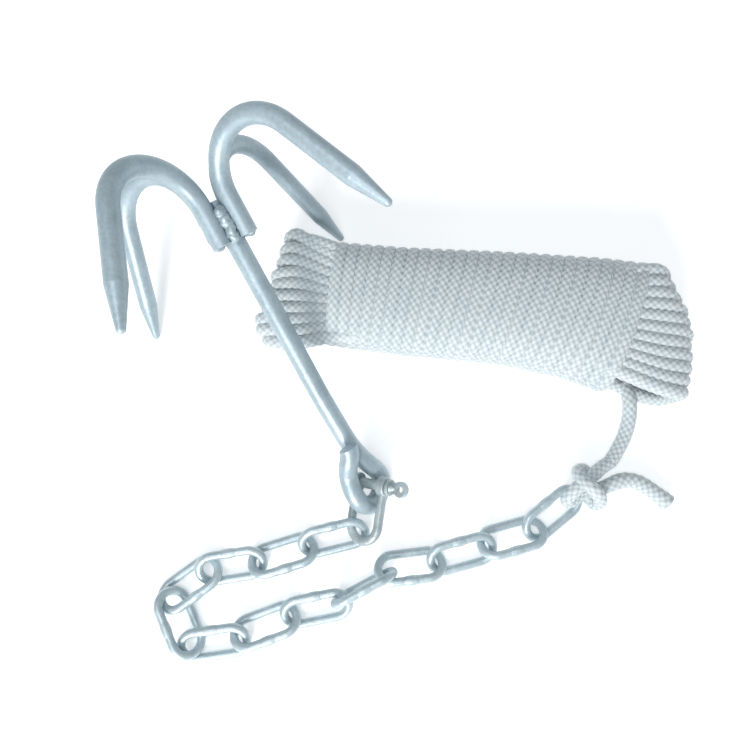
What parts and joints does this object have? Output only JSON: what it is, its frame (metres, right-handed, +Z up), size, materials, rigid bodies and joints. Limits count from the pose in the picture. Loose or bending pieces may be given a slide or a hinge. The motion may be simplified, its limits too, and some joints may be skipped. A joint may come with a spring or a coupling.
{
  "type": "grapnel anchor",
  "caption": "Grapnel boat anchor of bent round bars on an eyed shank, with a screw-pin shackle, a welded link chain and a hanked braided line.",
  "frame": {"origin": "on the ground under the middle of the anchor and chain as they lie", "axes": "+Z up; +Y along the longest side of the laid-out anchor and chain, from the chain towards the crown"},
  "size_m": [0.3313, 0.291, 0.1388],
  "materials": {
    "galvanised_bar": "hot-dip galvanised, matt with a soft sheen",
    "galvanised_shackle": "hot-dip galvanised",
    "galvanised_chain": "electro-galvanised, satin",
    "braided_line": "white braided cord"
  },
  "bodies": {
    "shackle": {"shackle_bow": "galvanised_shackle"},
    "pin": {"shackle_pin": "galvanised_shackle"},
    "anchor": {"shank": "galvanised_bar", "crown_welds": "galvanised_bar", "fluke_upper_left": "galvanised_bar", "fluke_lower_left": "galvanised_bar", "fluke_upper_right": "galvanised_bar", "fluke_lower_right": "galvanised_bar"},
    "link_01": {"chain_link_01": "galvanised_chain"},
    "link_02": {"chain_link_02": "galvanised_chain"},
    "link_03": {"chain_link_03": "galvanised_chain"},
    "link_04": {"chain_link_04": "galvanised_chain"},
    "link_05": {"chain_link_05": "galvanised_chain"},
    "link_06": {"chain_link_06": "galvanised_chain"},
    "link_07": {"chain_link_07": "galvanised_chain"},
    "link_08": {"chain_link_08": "galvanised_chain"},
    "link_09": {"chain_link_09": "galvanised_chain"},
    "link_10": {"chain_link_10": "galvanised_chain"},
    "link_11": {"chain_link_11": "galvanised_chain"},
    "link_12": {"chain_link_12": "galvanised_chain"},
    "link_13": {"chain_link_13": "galvanised_chain", "rope_knot": "braided_line", "rope_tail": "braided_line"},
    "hank": {"rope_hank": "braided_line", "rope_lead": "braided_line"}
  },
  "joints": [
    {"name": "pin_turn", "type": "hinge", "parent": "shackle", "child": "pin", "pos_m": [0.0095, -0.0448, 0.0145], "axis": [0.8109, -0.1724, 0.5592], "range_deg": [0, 360]},
    {"name": "anchor_swing", "type": "hinge", "parent": "shackle", "child": "anchor", "pos_m": [0.0095, -0.0448, 0.0145], "axis": [0.8109, -0.1724, 0.5592], "range_deg": [0, 58]},
    {"name": "chain_turn_01", "type": "hinge", "parent": "shackle", "child": "link_01", "pos_m": [0.00423, -0.07415, 0.00979], "axis": [0, 0, 1], "range_deg": [-24, 14]},
    {"name": "chain_turn_02", "type": "hinge", "parent": "link_01", "child": "link_02", "pos_m": [-0.02636, -0.07969, 0.0073], "axis": [0, 0, 1], "range_deg": [-8, 16]},
    {"name": "chain_turn_03", "type": "hinge", "parent": "link_02", "child": "link_03", "pos_m": [-0.05534, -0.08892, 0.00675], "axis": [0, 0, 1], "range_deg": [-15, 10]},
    {"name": "chain_turn_04", "type": "hinge", "parent": "link_03", "child": "link_04", "pos_m": [-0.08321, -0.09309, 0.00642], "axis": [0, 0, 1], "range_deg": [-20, 6]},
    {"name": "chain_turn_05", "type": "hinge", "parent": "link_04", "child": "link_05", "pos_m": [-0.10417, -0.1092, 0.00691], "axis": [0, 0, -1], "range_deg": [-5, 20]},
    {"name": "chain_turn_06", "type": "hinge", "parent": "link_05", "child": "link_06", "pos_m": [-0.09177, -0.13416, 0.00711], "axis": [0, 0, 1], "range_deg": [-20, 4]},
    {"name": "chain_turn_07", "type": "hinge", "parent": "link_06", "child": "link_07", "pos_m": [-0.06361, -0.12957, 0.00668], "axis": [0, 0, 1], "range_deg": [-18, 5]},
    {"name": "chain_turn_08", "type": "hinge", "parent": "link_07", "child": "link_08", "pos_m": [-0.03553, -0.11788, 0.007], "axis": [0, 0, -1], "range_deg": [-8, 15]},
    {"name": "chain_turn_09", "type": "hinge", "parent": "link_08", "child": "link_09", "pos_m": [-0.00684, -0.10993, 0.00905], "axis": [0, 0, -1], "range_deg": [-14, 8]},
    {"name": "chain_turn_10", "type": "hinge", "parent": "link_09", "child": "link_10", "pos_m": [0.01842, -0.09441, 0.00899], "axis": [0, 0, 1], "range_deg": [-4, 6]},
    {"name": "chain_turn_11", "type": "hinge", "parent": "link_10", "child": "link_11", "pos_m": [0.04723, -0.08857, 0.00688], "axis": [0, 0, 1], "range_deg": [-3, 14]},
    {"name": "chain_turn_12", "type": "hinge", "parent": "link_11", "child": "link_12", "pos_m": [0.07645, -0.07965, 0.00681], "axis": [0, 0, -1], "range_deg": [-14, 2]},
    {"name": "chain_turn_13", "type": "hinge", "parent": "link_12", "child": "link_13", "pos_m": [0.1042, -0.07071, 0.00675], "axis": [0, 0, 1], "range_deg": [-2, 11]},
    {"name": "hank_turn", "type": "hinge", "parent": "link_13", "child": "hank", "pos_m": [0.15, -0.032, 0.008], "axis": [0, 0, 1], "range_deg": [-1.5, 8]}
  ]
}
